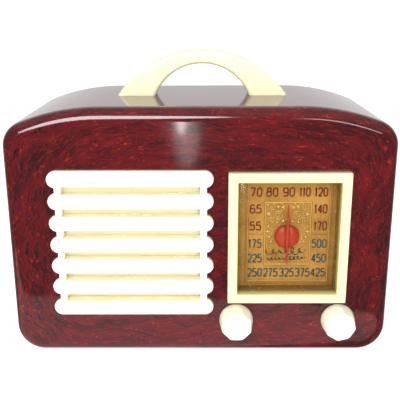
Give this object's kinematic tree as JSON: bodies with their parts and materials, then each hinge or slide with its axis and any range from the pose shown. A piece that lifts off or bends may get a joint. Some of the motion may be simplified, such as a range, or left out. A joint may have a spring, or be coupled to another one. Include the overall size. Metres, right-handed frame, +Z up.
{
  "type": "tabletop radio",
  "caption": "Small table radio with a rounded cast-plastic cabinet, arched handle, louvred speaker grille, square dial and two knobs.",
  "frame": {"origin": "on the table, under the middle of the set's bounding box", "axes": "+X to the right seen from the front, -Y towards the listener (the dial faces -Y), +Z up"},
  "size_m": [0.235, 0.122, 0.1883],
  "materials": {
    "phenolic_red": "polished cast phenolic, swirled oxblood",
    "ivory": "polished cream urea plastic",
    "cloth": "woven speaker cloth",
    "fibreboard": "pressed brown board",
    "lens_clear": "clear bowed celluloid window",
    "dial_gold": "stamped gilt plate with printed numbers",
    "pointer_red": "orange-red painted",
    "steel": "cadmium-plated steel",
    "brass": "turned brass",
    "aluminium": "stamped aluminium",
    "black_phenolic": "black moulded phenolic",
    "brown_phenolic": "brown moulded phenolic",
    "rubber": "black rubber",
    "felt": "brown felt",
    "tube_glass": "clear glass envelope",
    "lamp_glass": "clear lamp bulb",
    "anode": "carbonised nickel",
    "cone_paper": "grey-brown felted paper",
    "gasket": "chipboard ring",
    "coil_former": "varnished paper tube",
    "iron": "blackened iron",
    "drum_string": "braided dial cord",
    "copper": "enamelled copper winding",
    "wax_paper": "waxed paper tube"
  },
  "bodies": {
    "radio": {"back_cover": "fibreboard", "back_screws": "steel", "baffle_board": "fibreboard", "baffle_screws": "steel", "bezel_clips": "steel", "cabinet": "phenolic_red", "capacitor_frame": "steel", "capacitor_grommets": "rubber", "capacitor_stator": "aluminium", "capacitor_trimmers": "black_phenolic", "chassis": "steel", "chassis_nuts": "steel", "chassis_screws": "steel", "coil_cans": "aluminium", "control_nuts": "steel", "cord_grommet": "rubber", "dial_bezel": "ivory", "dial_brackets": "steel", "dial_lamp": "lamp_glass", "dial_lens": "lens_clear", "dial_plate": "dial_gold", "drum_cord": "drum_string", "feet": "felt", "filter_capacitor": "wax_paper", "grille": "ivory", "grille_cloth": "cloth", "handle": "ivory", "handle_screws": "steel", "lamp_socket": "steel", "loop_antenna": "copper", "paper_capacitors": "wax_paper", "power_switch": "black_phenolic", "resistors": "wax_paper", "speaker_frame": "steel", "speaker_gasket": "gasket", "speaker_magnet": "iron", "speaker_screws": "steel", "transformer_bracket": "steel", "transformer_coil": "coil_former", "transformer_core": "iron", "tube_bases": "black_phenolic", "tube_electrodes": "anode", "tube_glasses": "tube_glass", "tube_sockets": "brown_phenolic", "tuning_bushing": "brass", "volume_control": "black_phenolic"},
    "volume": {"volume_knob": "ivory", "volume_knob_spring": "steel", "volume_shaft": "brass"},
    "tuning": {"tuning_knob": "ivory", "tuning_knob_spring": "steel", "tuning_shaft": "brass", "tuning_retainer": "steel"},
    "dial": {"dial_drum": "aluminium", "capacitor_rotor": "aluminium", "dial_pointer": "pointer_red", "pointer_hub": "pointer_red"},
    "cone": {"speaker_cone": "cone_paper", "voice_coil": "coil_former", "dust_cap": "cone_paper"}
  },
  "joints": [
    {"name": "volume_turn", "type": "hinge", "parent": "radio", "child": "volume", "pos_m": [0.0223, -0.049, 0.0263], "axis": [0, 1, 0], "range_deg": [0, 300]},
    {"name": "tuning_turn", "type": "hinge", "parent": "radio", "child": "tuning", "pos_m": [0.086, -0.049, 0.0263], "axis": [0, 1, 0], "range_deg": [-720, 720]},
    {"name": "dial_turn", "type": "hinge", "parent": "radio", "child": "dial", "pos_m": [0.0537, -0.049, 0.0781], "axis": [0, 1, 0], "range_deg": [-90, 90]},
    {"name": "cone_travel", "type": "slide", "parent": "radio", "child": "cone", "axis": [0, 1, 0], "range_m": [-0.0008, 0.0008], "stiffness_N_per_m": 800}
  ],
  "couplings": [
    {"joint": "dial_turn", "follows": "tuning_turn", "ratio": 0.125}
  ]
}
